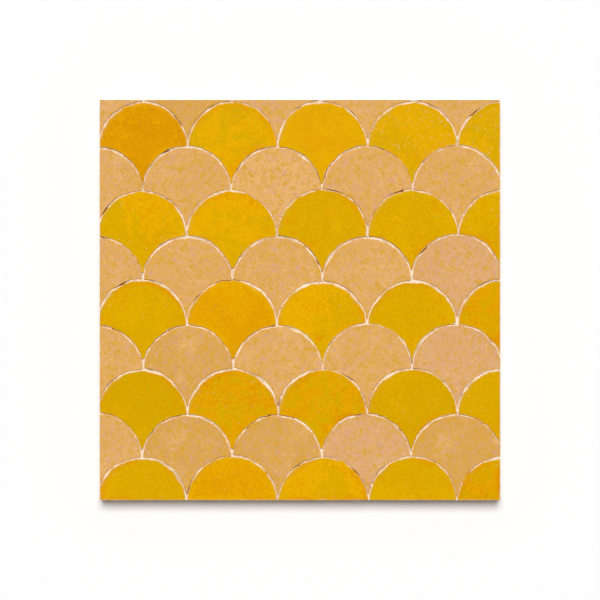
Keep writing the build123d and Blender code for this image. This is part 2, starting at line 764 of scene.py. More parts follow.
@dataclass(frozen=True)
class BareClay:
    """Unglazed fired clay: speckled, sandy, with white grains of lime."""

    tone: ClayTone
    ground: Colour
    yellow_speck: Colour = paint(219, 164, 36)
    rose_speck: Colour = paint(212, 162, 148)
    pale_speck: Colour = paint(238, 190, 132)
    pale_fleck: Colour = paint(244, 196, 134)
    lime: Colour = paint(252, 236, 214)
    pale_clouds: Clouds = Clouds(22 * MM, 6, 0.75, 0.50, 0.68, 0.0, 0.6)
    yellow_specks: Clouds = Clouds(4.0 * MM, 5, 1.0, 0.50, 0.56)
    rose_specks: Clouds = Clouds(3.4 * MM, 5, 1.0, 0.54, 0.61, shift=5.0)
    pale_flecks: Clouds = Clouds(2.6 * MM, 4, 0.8, 0.62, 0.67, shift=8.0)
    grain: Clouds = Clouds(0.9 * MM, 3, 0.6, 0.25, 0.75, 0.87, 1.13)
    grit: tuple[float, float] = (0.3, 0.7)
    roughness: tuple[float, float] = (0.80, 0.96)
    pores: Clouds = Clouds(1.8 * MM, 2, 0.6, 0.62, 0.74)
    pillows: Clouds = Clouds(7 * MM, 3, 0.6)
    streaks: Clouds = Clouds(1.6 * MM, 1, 0.5, 0.66, 0.72, 0.0, 0.4)
    scratched_parts: Clouds = Clouds(9 * MM, 2, 0.5, 0.58, 0.66, shift=6.0)
    scratch_slant: float = 0.6
    scratch_squeeze: float = 0.12
    lime_spacing: float = 10 * MM
    lime_lots: tuple[float, float] = (0.55, 0.60)
    lime_radii: tuple[float, float] = (0.03, 0.08)
    lime_fade: tuple[float, float] = (0.7, 1.0)
    grain_height: float = 0.08 * MM
    pillow_height: float = 0.18 * MM
    pore_depth: float = 0.15 * MM
    shine: float = 0.25

    def material(self) -> bpy.types.Material:
        """Mixes the clay.

        Returns:
            The material.
        """
        material, wiring, shader = new_material(f"bare_clay_{self.tone.value}")
        place, seed = own_place(wiring)
        grain = self.grain.drift(wiring, place, seed)
        colour = wiring.tint(self.pale_clouds.mask(wiring, place, seed), self.ground, self.pale_speck)
        colour = wiring.tint(self.yellow_specks.mask(wiring, place, seed), colour, self.yellow_speck)
        colour = wiring.tint(self.rose_specks.mask(wiring, place, seed), colour, self.rose_speck)
        colour = wiring.tint(self.pale_flecks.mask(wiring, place, seed), colour, self.pale_fleck)
        colour = wiring.tint(self.scratches(wiring, place, seed), colour, self.lime)
        colour = wiring.dim(colour, self.grain.shown(wiring, grain))
        colour = wiring.tint(self.lime_grains(wiring, place, seed), colour, self.lime)
        wiring.feed(shader.inputs["Base Color"], colour)
        wiring.feed(shader.inputs["Roughness"], wiring.between(grain, *self.grit, *self.roughness))
        skin = wiring.total(
            wiring.times(grain, self.grain_height),
            wiring.times(self.pillows.drift(wiring, place, seed), self.pillow_height),
            wiring.times(self.pores.mask(wiring, place, seed), -self.pore_depth),
        )
        bump(wiring, shader, skin)
        shader.inputs["Specular IOR Level"].default_value = self.shine
        return material

    def scratches(self, wiring: Wiring, place: Socket, seed: Socket) -> Socket:
        """Draws a few fine scratches across the face.

        Args:
            wiring: The material's wiring.
            place: Where to look.
            seed: The piece's seed.

        Returns:
            How strongly a scratch shows, and 0 beside it.
        """
        x, y, _ = wiring.split(place)
        along = wiring.times(wiring.total(x, wiring.times(y, self.scratch_slant)), self.scratch_squeeze)
        across = wiring.math("SUBTRACT", y, wiring.times(x, self.scratch_slant))
        streaks = self.streaks.mask(wiring, wiring.join(along, across, 0.0), seed)
        return wiring.times(streaks, self.scratched_parts.mask(wiring, place, seed))

    def lime_grains(self, wiring: Wiring, place: Socket, seed: Socket) -> Socket:
        """Strews a few white grains through the clay.

        Args:
            wiring: The material's wiring.
            place: Where to look.
            seed: The piece's seed.

        Returns:
            1 on a grain and 0 beside it.
        """
        feeds = {"Vector": place, "W": seed, "Scale": 1 / self.lime_spacing}
        cells = wiring.node("ShaderNodeTexVoronoi", feeds, voronoi_dimensions="4D")
        lot, size, _ = wiring.split(cells.outputs["Color"])
        chosen = wiring.between(lot, *self.lime_lots)
        radius = wiring.between(size, 0.0, 1.0, *self.lime_radii)
        near = wiring.math("DIVIDE", cells.outputs["Distance"], radius)
        return wiring.times(wiring.between(near, *self.lime_fade, 1.0, 0.0), chosen)


@dataclass(frozen=True)
class PaleMortar:
    """Lime mortar with fine sand, pale where it was wiped and brown deep in a joint, where the brown is
    painted shade together with dirt.
    """

    panel_half: float
    joint_height: float
    ground: Colour = paint(252, 231, 205)
    damp: Colour = paint(214, 178, 130)
    sand: Colour = paint(204, 170, 130)
    dirt: Colour = paint(150, 122, 84)
    # Brown painted deep in the joints: painted shade together with dirt.
    deep_shade_and_dirt: Colour = paint(160, 98, 4)
    patches: Clouds = Clouds(9 * MM, 4, 0.65, 0.44, 0.60, 0.0, 0.85)
    soil: Clouds = Clouds(3.4 * MM, 2, 0.6, 0.60, 0.70, 0.0, 0.7, shift=2.0)
    grain: Clouds = Clouds(0.8 * MM, 3, 0.65, 0.56, 0.68, 0.0, 0.5)
    grit: tuple[float, float] = (0.3, 0.7)
    roughness: tuple[float, float] = (0.86, 0.98)
    pores: Clouds = Clouds(2.4 * MM, 3, 0.6, 0.64, 0.72)
    pore_share: float = 0.45
    sheltered_depth: float = 3 * MM
    weathered_depth: float = 2 * MM
    sheltered_share: float = 0.35
    side_margin: float = 0.3 * MM
    back_margin: float = 1.0 * MM
    full_shade_depth: float = 0.85 * MM
    no_shade_depth: float = 0.55 * MM
    grain_height: float = 0.14 * MM
    patch_height: float = 0.3 * MM
    pore_depth: float = 0.35 * MM
    shine: float = 0.2

    def material(self) -> bpy.types.Material:
        """Mixes the mortar.

        Returns:
            The material.
        """
        material, wiring, shader = new_material("pale_mortar")
        place = wiring.node("ShaderNodeTexCoord").outputs["Object"]
        patches = self.patches.drift(wiring, place)
        grain = self.grain.drift(wiring, place)
        pores = self.pores.mask(wiring, place)
        weathered = self.weathered(wiring, place)
        damp = wiring.times(weathered, self.patches.shown(wiring, patches))
        dirt = wiring.times(weathered, self.soil.mask(wiring, place))
        colour = wiring.tint(damp, self.ground, self.damp)
        colour = wiring.tint(self.grain.shown(wiring, grain), colour, self.sand)
        colour = wiring.tint(wiring.times(pores, self.pore_share), colour, self.sand)
        colour = wiring.tint(dirt, colour, self.dirt)
        # Paints the bottoms of slits and low joints brown, as shade and dirt.
        colour = wiring.tint(self.painted_depth_shade(wiring, place), colour, self.deep_shade_and_dirt)
        wiring.feed(shader.inputs["Base Color"], colour)
        wiring.feed(shader.inputs["Roughness"], wiring.between(grain, *self.grit, *self.roughness))
        skin = wiring.total(
            wiring.times(grain, self.grain_height),
            wiring.times(patches, self.patch_height),
            wiring.times(pores, -self.pore_depth),
        )
        bump(wiring, shader, skin)
        shader.inputs["Specular IOR Level"].default_value = self.shine
        return material

    def weathered(self, wiring: Wiring, place: Socket) -> Socket:
        """Tells the joints, which are stained, from the calmer sides and back.

        Args:
            wiring: The material's wiring.
            place: Where to look.

        Returns:
            1 in the joints and less below them.
        """
        sheltered = self.joint_height - self.sheltered_depth
        open_to_weather = self.joint_height - self.weathered_depth
        height = wiring.split(place)[2]
        return wiring.between(height, sheltered, open_to_weather, self.sheltered_share, 1.0)

    def painted_depth_shade(self, wiring: Wiring, place: Socket) -> Socket:
        """Finds the bottoms of slits, which the panel's sides and back don't count as, for the brown
        painted there as shade and dirt.

        Args:
            wiring: The material's wiring.
            place: Where to look.

        Returns:
            1 deep in a joint and 0 elsewhere.
        """
        x, y, z = wiring.split(place)
        outermost = wiring.math("MAXIMUM", wiring.math("ABSOLUTE", x), wiring.math("ABSOLUTE", y))
        within = wiring.math("LESS_THAN", outermost, self.panel_half - self.side_margin)
        above_back = wiring.math("GREATER_THAN", z, self.back_margin)
        fully_shaded = self.joint_height - self.full_shade_depth
        unshaded = self.joint_height - self.no_shade_depth
        return wiring.times(within, above_back, wiring.between(z, fully_shaded, unshaded, 1.0, 0.0))


GLAZES = (
    YellowGlaze(GlazeTone.MUSTARD, paint(220, 169, 1), paint(225, 173, 1), paint(227, 155, 1)),
    YellowGlaze(GlazeTone.SAFFRON, paint(235, 175, 1), paint(221, 171, 1), paint(231, 154, 1)),
    YellowGlaze(GlazeTone.AMBER, paint(231, 164, 1), paint(227, 159, 1), paint(235, 175, 1)),
    YellowGlaze(GlazeTone.RUSSET, paint(224, 153, 1), paint(221, 149, 1), paint(235, 171, 1)),
    YellowGlaze(
        GlazeTone.MARBLED, paint(230, 163, 1), paint(217, 169, 1), paint(223, 144, 1), clouds=SMALL_CLOUDS
    ),
    YellowGlaze(
        GlazeTone.WORN, paint(233, 174, 1), paint(221, 171, 1), paint(231, 163, 1), worn_specks=MANY_SPECKS
    ),
    YellowGlaze(GlazeTone.OCHRE, paint(214, 166, 1), paint(221, 169, 1), paint(223, 158, 1)),
    YellowGlaze(GlazeTone.GOLD, paint(233, 172, 1), paint(231, 165, 1), paint(226, 172, 1)),
)
CLAYS = (
    BareClay(ClayTone.SAND, paint(227, 172, 103)),
    BareClay(ClayTone.HONEY, paint(219, 164, 88)),
    BareClay(ClayTone.ROSE, paint(223, 171, 121)),
    BareClay(ClayTone.PALE, paint(233, 179, 112)),
)

# Which scales came out of the kiln in another tone than mustard and sand, by row and column.
GLAZE_TONES = {
    GlazeTone.AMBER: {(3, 2), (5, 2)},
    GlazeTone.RUSSET: {(1, 1)},
    GlazeTone.MARBLED: {(3, 5), (4, 2), (4, 3), (5, 5)},
    GlazeTone.SAFFRON: {(1, 2), (2, 1), (2, 2), (3, 3), (5, 3)},
    GlazeTone.WORN: {(1, 4), (1, 5)},
    GlazeTone.OCHRE: {(4, 1), (4, 4), (4, 5)},
    GlazeTone.GOLD: {(1, 3)},
}
CLAY_TONES = {
    ClayTone.HONEY: {(1, 2), (4, 2), (5, 2), (5, 3), (5, 5)},
    ClayTone.ROSE: {(3, 5), (4, 5), (5, 4)},
    ClayTone.PALE: {(2, 3)},
}


def tone_of(row: int, column: int, tones: dict[Enum, set[tuple[int, int]]], usual: Enum) -> Enum:
    """Looks up how a scale came out of the kiln.

    Args:
        row: The scale's row.
        column: The scale's column.
        tones: The scales of each other tone.
        usual: The tone of all others.

    Returns:
        The scale's tone.
    """
    return next((tone for tone, places in tones.items() if (row, column) in places), usual)


@dataclass(frozen=True)
class ScaleCutter:
    """The chisel: a tree that sweeps a scale's outline from a point inside it, its heart.

    A sheet of points is bent round the heart. Its columns turn round the piece. Its rows climb from the
    middle of the back to the outline, up the flank, over the rim and in to the middle of the face.
    """

    around: int = 360
    flank_rings: int = 2
    rim_rings: int = 5
    face_rings: int = 10
    facet: float = 1.3 * MM
    facet_length: float = 24 * MM
    strokes: int = 13
    stroke_spread: float = 0.25
    flatness: float = 0.7
    ragged: float = 1.05 * MM
    ragged_length: float = 3.2 * MM
    flare_start: float = 0.80
    flare_end: float = 0.97
    flare_calm: float = 0.6
    pinch: float = 0.55 * MM
    pinch_start: float = 13 * MM
    pinch_end: float = 26 * MM
    slit_length: float = 17 * MM
    slit_depth: float = 0.0
    tail_soundness: float = 0.8
    lost_mortar: float = 1.4
    rim_width: float = 0.65 * MM
    rim_drop: float = 0.45 * MM
    chip_length: float = 6 * MM
    chip_spread: float = 1.6
    chip_depth: float = 2.0
    sawn_rim_width: float = 0.06 * MM
    sawn_rim_drop: float = 0.6 * MM
    wave: float = 0.14 * MM
    wave_length: float = 40 * MM
    dimple: float = 0.05 * MM
    dimple_length: float = 7 * MM
    tail_focus: float = 0.4
    chips: tuple[float, float] = (0.55, 0.72)
    crown_slits: tuple[float, float] = (0.70, 0.78)
    hollow_slits: tuple[float, float] = (0.53, 0.66)
    lost_parts: tuple[float, float] = (0.66, 0.71)
    crown_bearings: tuple[float, float] = (-0.15, 0.05)
    least_squareness: float = 0.16
    least_reach: float = 0.35
    least_saw_cosine: float = 1e-5
    least_tail_cosine: float = 0.001
    glaze_foot: float = 0.25
    weld: float = 0.0005 * MM

    SOCKETS = {
        "Centre": "NodeSocketVector",
        "Crown Radius": "NodeSocketFloat",
        "Crown Flares": "NodeSocketVector",
        "Heart": "NodeSocketVector",
        "Left Hollow": "NodeSocketVector",
        "Left Radius": "NodeSocketFloat",
        "Left Flares": "NodeSocketVector",
        "Right Hollow": "NodeSocketVector",
        "Right Radius": "NodeSocketFloat",
        "Right Flares": "NodeSocketVector",
        "Tail Bearing": "NodeSocketFloat",
        "Tail End": "NodeSocketVector",
        "Tail Normal": "NodeSocketVector",
        "Panel Half": "NodeSocketFloat",
        "Back Height": "NodeSocketFloat",
        "Face Height": "NodeSocketFloat",
        "Flank Slope": "NodeSocketFloat",
        "Tilt": "NodeSocketVector",
        "Seed": "NodeSocketFloat",
        "Shrinkage": "NodeSocketFloat",
        "Face Finish": "NodeSocketMaterial",
        "Flank Finish": "NodeSocketMaterial",
    }

    @property
    def foot(self) -> int:
        """The row where the flank ends and the rim starts."""
        return 1 + self.flank_rings

    @property
    def lip(self) -> int:
        """The row where the rim ends and the face starts."""
        return self.foot + self.rim_rings

    @property
    def rings(self) -> int:
        """The last row, at the middle of the face."""
        return self.lip + self.face_rings

    def plan(self) -> PlannedTree:
        """Lays out the tree.

        Returns:
            The tree, ready to cut scales.
        """
        planned = PlannedTree("hand_cut_scale", self.SOCKETS)
        wiring, given = planned.wiring, planned.given
        feeds = {"Size X": 1.0, "Size Y": 1.0, "Vertices X": self.around + 1, "Vertices Y": self.rings + 1}
        sheet = wiring.shape("MeshGrid", feeds)
        across, along, _ = wiring.split(wiring.node("GeometryNodeInputPosition").outputs[0])
        climb = wiring.times(wiring.total(along, 0.5), float(self.rings))
        heading = self.heading(wiring, given, across)
        shrunk = wiring.times(given["Shrinkage"], wiring.between(climb, self.foot - 2, self.foot - 1))
        distance, squareness, sawn = self.outline(wiring, given, heading, shrunk)
        back = wiring.between(climb, 0, 1)
        rim = wiring.between(climb, self.foot, self.lip)
        face = wiring.between(climb, self.lip, self.rings)
        hit = self.ahead(wiring, given, heading, distance)
        rim_width, rim_drop = self.rim_size(wiring, given, hit, sawn)
        roll = wiring.times(rim, math.pi / 2)
        rise = wiring.math("SUBTRACT", given["Face Height"], given["Back Height"])
        flank_rise = self.flank_rise(wiring, climb, rise, rim_drop)
        rim_rise = wiring.times(rim_drop, wiring.math("SINE", roll))
        height = wiring.total(given["Back Height"], flank_rise, rim_rise)
        below_face = wiring.math("SUBTRACT", given["Face Height"], height)
        lean = wiring.times(below_face, given["Flank Slope"], wiring.rest(sawn))
        rolled_in = wiring.times(rim_width, wiring.rest(wiring.math("COSINE", roll)))
        square = wiring.math("MAXIMUM", squareness, self.least_squareness)
        inset = wiring.math("DIVIDE", wiring.total(lean, rolled_in), square)
        least = wiring.times(distance, self.least_reach)
        edge = wiring.math("MAXIMUM", wiring.math("SUBTRACT", distance, inset), least)
        radius = wiring.times(edge, back, wiring.rest(face))
        flat = self.ahead(wiring, given, heading, radius)
        relief = self.relief(wiring, given, flat)
        x, y, _ = wiring.split(flat)
        place = wiring.join(x, y, wiring.math("MULTIPLY_ADD", relief, rim, height))
        rim_distance = wiring.times(wiring.math("SUBTRACT", distance, radius), squareness)
        shape = self.remember(wiring, sheet, "rim_distance", rim_distance)
        shape = self.remember(wiring, shape, "piece_seed", given["Seed"])
        shape = self.remember(wiring, shape, "facing_left", self.facing_left(wiring, heading, sawn))
        planned.hand_out(self.dressed(wiring, given, shape, climb, place))
        return planned

    def dressed(
        self, wiring: Wiring, given: bpy.types.NodeOutputs, shape: Socket, climb: Socket, place: Socket
    ) -> Socket:
        """Bends the sheet into the piece, closes it and gives it its finishes.

        Args:
            wiring: The tree's wiring.
            given: The tree's inputs.
            shape: The flat sheet.
            climb: The row.
            place: Where each point of the sheet goes.

        Returns:
            The finished piece.
        """
        kept = wiring.node("GeometryNodeCaptureAttribute", domain="POINT")
        kept.capture_items.new("FLOAT", "Climb")
        wiring.feed(kept.inputs["Geometry"], shape)
        wiring.feed(kept.inputs["Climb"], climb)
        shape = wiring.shape("SetPosition", {"Geometry": kept.outputs["Geometry"], "Position": place})
        shape = wiring.shape("MergeByDistance", {"Geometry": shape, "Distance": self.weld})
        shape = wiring.shape("RealizeInstances", {"Geometry": smoothed(wiring, shape)})
        shape = wiring.shape("SetMaterial", {"Geometry": shape, "Material": given["Flank Finish"]})
        on_face = wiring.math("GREATER_THAN", kept.outputs["Climb"], self.foot + self.glaze_foot)
        feeds = {"Geometry": shape, "Selection": on_face, "Material": given["Face Finish"]}
        return wiring.shape("SetMaterial", feeds)

    @staticmethod
    def ahead(wiring: Wiring, given: bpy.types.NodeOutputs, heading: Socket, distance: Socket) -> Socket:
        """Finds the place at a distance from the heart."""
        return wiring.vector("ADD", given["Heart"], wiring.vector("SCALE", heading, distance))

    def rim_size(
        self, wiring: Wiring, given: bpy.types.NodeOutputs, hit: Socket, sawn: Socket
    ) -> tuple[Socket, Socket]:
        """Finds how wide and deep the rim is rolled, with chips here and there.

        Args:
            wiring: The tree's wiring.
            given: The tree's inputs.
            hit: The place on the outline.
            sawn: 1 on a sawn edge.

        Returns:
            The rim's width and its drop below the face.
        """
        bites = wiring.noise(hit, self.chip_length, rough=0.6, seed=wiring.total(given["Seed"], 3.0))
        chip = wiring.between(bites, *self.chips)
        width = wiring.math("MULTIPLY_ADD", chip, self.chip_spread * self.rim_width, self.rim_width)
        drop = wiring.math("MULTIPLY_ADD", chip, self.chip_depth * self.rim_drop, self.rim_drop)
        rim_width = wiring.blend(sawn, width, self.sawn_rim_width)
        return rim_width, wiring.blend(sawn, drop, self.sawn_rim_drop)

    def flank_rise(self, wiring: Wiring, climb: Socket, rise: Socket, rim_drop: Socket) -> Socket:
        """Climbs a scale's flank steadily, or a recess's in two steps with a ledge between them.

        The ledge is the bottom of the slits.

        Args:
            wiring: The tree's wiring.
            climb: The row.
            rise: From the back up to the face.
            rim_drop: From the face down to the rim's foot.

        Returns:
            The height above the back.
        """
        whole = wiring.math("SUBTRACT", rise, rim_drop)
        if not self.slit_depth:
            return wiring.times(wiring.between(climb, 1, self.foot), whole)
        ledge = wiring.math("SUBTRACT", rise, self.slit_depth)
        above = wiring.math("SUBTRACT", whole, ledge)
        return wiring.total(
            wiring.times(wiring.between(climb, 1, self.foot - 2), ledge),
            wiring.times(wiring.between(climb, self.foot - 1, self.foot), above),
        )

    def heading(self, wiring: Wiring, given: bpy.types.NodeOutputs, across: Socket) -> Socket:
        """Turns round the heart, with the columns closer together towards the tail.

        Args:
            wiring: The tree's wiring.
            given: The tree's inputs.
            across: From -0.5 to 0.5 over the sheet's columns, and 0 at the tail.

        Returns:
            The direction from the heart.
        """
        off_tail = wiring.math("POWER", wiring.times(wiring.math("ABSOLUTE", across), 2.0), 2.0)
        stretch = wiring.math("MULTIPLY_ADD", off_tail, 1 - self.tail_focus, self.tail_focus)
        bearing = wiring.total(given["Tail Bearing"], wiring.times(across, stretch, math.tau))
        return wiring.join(wiring.math("COSINE", bearing), wiring.math("SINE", bearing), 0.0)

    def facing_left(self, wiring: Wiring, heading: Socket, sawn: Socket) -> Socket:
        """Tells how squarely a stretch of the crown faces the panel's left edge.

        Args:
            wiring: The tree's wiring.
            heading: The direction from the heart.
            sawn: 1 on a sawn edge.

        Returns:
            Up to 1 on the left of a crown, 0 or less on all other edges.
        """
        x, y, _ = wiring.split(heading)
        on_crown = wiring.between(y, *self.crown_bearings)
        return wiring.times(x, -1.0, on_crown, wiring.rest(sawn))

    def outline(
        self, wiring: Wiring, given: bpy.types.NodeOutputs, heading: Socket, shrunk: Socket
    ) -> tuple[Socket, ...]:
        """Finds how far the piece reaches from its heart: to its crown, a hollow or a sawn edge.

        Args:
            wiring: The tree's wiring.
            given: The tree's inputs.
            heading: The direction from the heart.
            shrunk: How far the mortar drew back.

        Returns:
            The distance, the cosine between the direction and the edge's normal, and 1 on a sawn edge.
        """
        cut, cut_square = self.cut_edge(wiring, given, heading, shrunk, "Crown")
        cuts = [self.blunt_end(wiring, given, heading)]
        for side in ("Left", "Right"):
            cuts.append(self.cut_edge(wiring, given, heading, shrunk, side))
        for reach, square in cuts:
            nearer = wiring.math("LESS_THAN", reach, cut)
            cut_square = wiring.blend(nearer, cut_square, square)
            cut = wiring.math("MINIMUM", cut, reach)
        saw, saw_square = FAR_AWAY, 1.0
        for start, way in zip(wiring.split(given["Heart"])[:2], wiring.split(heading)[:2]):
            square = wiring.math("MAXIMUM", wiring.math("ABSOLUTE", way), self.least_saw_cosine)
            ahead = wiring.times(start, wiring.math("SIGN", way))
            reach = wiring.math("DIVIDE", wiring.math("SUBTRACT", given["Panel Half"], ahead), square)
            nearer = wiring.math("LESS_THAN", reach, saw)
            saw_square = wiring.blend(nearer, saw_square, square)
            saw = wiring.math("MINIMUM", saw, reach)
        sawn = wiring.math("LESS_THAN", saw, cut)
        return wiring.math("MINIMUM", cut, saw), wiring.blend(sawn, cut_square, saw_square), sawn

    def cut_edge(
        self, wiring: Wiring, given: bpy.types.NodeOutputs, heading: Socket, shrunk: Socket, edge: str
    ) -> tuple[Socket, Socket]:
        """Finds a round edge that was cut by hand, so that its radius wavers.

        The hollows hug the crowns more closely towards the tail. For a recess, the edge lies further out
        in places, where the mortar shrank and left a slit beside the scale.

        Args:
            wiring: The tree's wiring.
            given: The tree's inputs.
            heading: The direction from the heart.
            shrunk: How far the mortar drew back.
            edge: The first word of the inputs that hold its radius and flares.

        Returns:
            The distance to the edge and the cosine between the direction and its normal.
        """
        outwards = edge == "Crown"
        middle = given["Centre"] if outwards else given[f"{edge} Hollow"]
        radius = given[f"{edge} Radius"]
        drawn, _ = self.reach(wiring, given, heading, middle, radius, outwards)
        hit = self.ahead(wiring, given, heading, drawn)
        facets = wiring.swing(hit, self.facet_length, detail=1, seed=given["Seed"])
        facets = wiring.times(facets, self.facet)
        nicks = self.nicks(wiring, given, hit)
        if outwards:
            facets = wiring.total(facets, self.chisel_strokes(wiring, given, hit))
        off = wiring.vector("SUBTRACT", hit, middle)
        flare, zone = self.flare(wiring, off, radius, given[f"{edge} Flares"])
        calm = wiring.math("MULTIPLY_ADD", zone, -self.flare_calm, 1.0)
        wavering = wiring.total(radius, flare, wiring.times(wiring.total(facets, nicks), calm))
        slits = wiring.noise(hit, self.slit_length, detail=1, seed=wiring.total(given["Seed"], 11.0))
        if outwards:
            slit = wiring.times(wiring.between(slits, *self.crown_slits), shrunk)
            wavering = wiring.total(wavering, slit)
        else:
            fallen_out = wiring.between(slits, *self.lost_parts, 0.0, self.lost_mortar)
            slit = wiring.total(wiring.between(slits, *self.hollow_slits), fallen_out)
            slit = wiring.times(slit, shrunk)
            depth = wiring.split(wiring.vector("SUBTRACT", given["Centre"], hit))[1]
            tail = wiring.between(depth, self.pinch_start, self.pinch_end)
            slit = wiring.times(slit, wiring.math("MULTIPLY_ADD", tail, -self.tail_soundness, 1.0))
            pinch = wiring.times(tail, self.pinch)
            wavering = wiring.math("SUBTRACT", wavering, wiring.total(slit, pinch))
        return self.reach(wiring, given, heading, middle, wavering, outwards)

    def nicks(self, wiring: Wiring, given: bpy.types.NodeOutputs, hit: Socket) -> Socket:
        """Makes a cut edge ragged."""
        ragged = wiring.swing(hit, self.ragged_length, detail=3, rough=0.6, seed=given["Seed"])
        return wiring.times(ragged, self.ragged)

    def flare(
        self, wiring: Wiring, off: Socket, radius: Socket, flares: Socket
    ) -> tuple[Socket, Socket]:
        """Finds how far a round is let out at its left and its right.

        Args:
            wiring: The tree's wiring.
            off: The place on the round, from its middle.
            radius: The round's radius.
            flares: How far it reaches beyond its radius at the left, as X, and at the right, as Y.

        Returns:
            The length there, and the share of the way from the round part to the sides.
        """
        aside = wiring.math("DIVIDE", wiring.split(off)[0], radius)
        left_flare, right_flare, _ = wiring.split(flares)
        left = wiring.between(aside, -self.flare_start, -self.flare_end)
        right = wiring.between(aside, self.flare_start, self.flare_end)
        length = wiring.total(wiring.times(left, left_flare), wiring.times(right, right_flare))
        return length, wiring.total(left, right)

    def chisel_strokes(self, wiring: Wiring, given: bpy.types.NodeOutputs, hit: Socket) -> Socket:
        """Flattens a crown into the short, nearly straight strokes of the chisel.

        Args:
            wiring: The tree's wiring.
            given: The tree's inputs.
            hit: The place on the drawn edge.

        Returns:
            How far the edge lies outside the drawn one: less within a stroke, more where two meet.
        """
        stroke = math.tau / self.strokes
        x, y, _ = wiring.split(wiring.vector("SUBTRACT", hit, given["Centre"]))
        waver = wiring.swing(hit, self.facet_length, detail=1, seed=wiring.total(given["Seed"], 5.0))
        turned = wiring.total(
            wiring.math("ARCTAN2", y, x), wiring.times(waver, self.stroke_spread), given["Seed"]
        )
        share = wiring.math("FRACT", wiring.math("DIVIDE", turned, stroke))
        off_middle = wiring.times(wiring.math("SUBTRACT", share, 0.5), stroke)
        bow = wiring.math("SUBTRACT", wiring.times(off_middle, off_middle), stroke**2 / 12)
        return wiring.times(bow, given["Crown Radius"], self.flatness / 2)

    def blunt_end(
        self, wiring: Wiring, given: bpy.types.NodeOutputs, heading: Socket
    ) -> tuple[Socket, Socket]:
        """Finds the straight cut that ends the tail.

        Args:
            wiring: The tree's wiring.
            given: The tree's inputs.
            heading: The direction from the heart.

        Returns:
            The distance to the cut and the cosine between the direction and its normal.
        """
        off = wiring.vector("SUBTRACT", given["Tail End"], given["Heart"])
        square = wiring.vector("DOT_PRODUCT", heading, given["Tail Normal"])
        towards = wiring.math("MAXIMUM", square, self.least_tail_cosine)
        reach = wiring.math("DIVIDE", wiring.vector("DOT_PRODUCT", off, given["Tail Normal"]), towards)
        hit = self.ahead(wiring, given, heading, reach)
        ragged_reach = wiring.total(reach, self.nicks(wiring, given, hit))
        return wiring.math("MINIMUM", ragged_reach, FAR_AWAY), towards

    def reach(
        self,
        wiring: Wiring,
        given: bpy.types.NodeOutputs,
        heading: Socket,
        middle: Socket,
        radius: Socket,
        outwards: bool,
    ) -> tuple[Socket, Socket]:
        """Measures from the heart to a circle.

        Args:
            wiring: The tree's wiring.
            given: The tree's inputs.
            heading: The direction from the heart.
            middle: The circle's middle.
            radius: The circle's radius.
            outwards: True to leave a circle round the heart, False to meet one beside it.

        Returns:
            The distance, and the cosine between the direction and the circle's normal.
        """
        off = wiring.vector("SUBTRACT", given["Heart"], middle)
        away = wiring.vector("DOT_PRODUCT", off, heading)
        gap = wiring.math("SUBTRACT", wiring.vector("DOT_PRODUCT", off, off), wiring.times(radius, radius))
        chord_square = wiring.math("SUBTRACT", wiring.times(away, away), gap)
        chord = wiring.math("SQRT", wiring.math("MAXIMUM", chord_square, 0.0))
        square = wiring.math("DIVIDE", chord, radius)
        if outwards:
            return wiring.math("SUBTRACT", chord, away), square
        near = wiring.times(wiring.total(away, chord), -1.0)
        meets = wiring.times(
            wiring.math("GREATER_THAN", chord_square, 0.0), wiring.math("LESS_THAN", away, 0.0)
        )
        return wiring.blend(meets, FAR_AWAY, near), square

    def relief(self, wiring: Wiring, given: bpy.types.NodeOutputs, flat: Socket) -> Socket:
        """Makes a face a little uneven, as hand-pressed clay is, and sets it a little askew.

        Args:
            wiring: The tree's wiring.
            given: The tree's inputs.
            flat: The place on the flat face.

        Returns:
            How far the face rises there.
        """
        off = wiring.vector("SUBTRACT", flat, given["Centre"])
        askew = wiring.vector("DOT_PRODUCT", off, given["Tilt"])
        sunk = wiring.split(given["Tilt"])[2]
        waves = wiring.swing(flat, self.wave_length, detail=1, seed=given["Seed"])
        dimples = wiring.swing(flat, self.dimple_length, seed=given["Seed"])
        uneven = wiring.total(askew, wiring.times(waves, self.wave), wiring.times(dimples, self.dimple))
        return wiring.math("SUBTRACT", uneven, sunk)

    @staticmethod
    def remember(wiring: Wiring, shape: Socket, name: str, value: Socket) -> Socket:
        """Stores a number at every point of the piece, for its finish to read."""
        feeds = {"Geometry": shape, "Name": name, "Value": value}
        return wiring.shape("StoreNamedAttribute", feeds, data_type="FLOAT", domain="POINT")


def smoothed(wiring: Wiring, shape: Socket, sharp_from: float = math.radians(38)) -> Socket:
    """Shades a shape smooth, and keeps its sharp edges.

    Args:
        wiring: The tree's wiring.
        shape: The geometry.
        sharp_from: The angle between faces above which an edge is sharp.

    Returns:
        The shaded geometry.
    """
    feeds = {"Geometry": shape, "Shade Smooth": True}
    shape = wiring.shape("SetShadeSmooth", feeds, domain="FACE")
    angle = wiring.node("GeometryNodeInputMeshEdgeAngle").outputs["Unsigned Angle"]
    sharp = wiring.math("GREATER_THAN", angle, sharp_from)
    feeds = {"Geometry": shape, "Selection": sharp, "Shade Smooth": False}
    return wiring.shape("SetShadeSmooth", feeds, domain="EDGE")


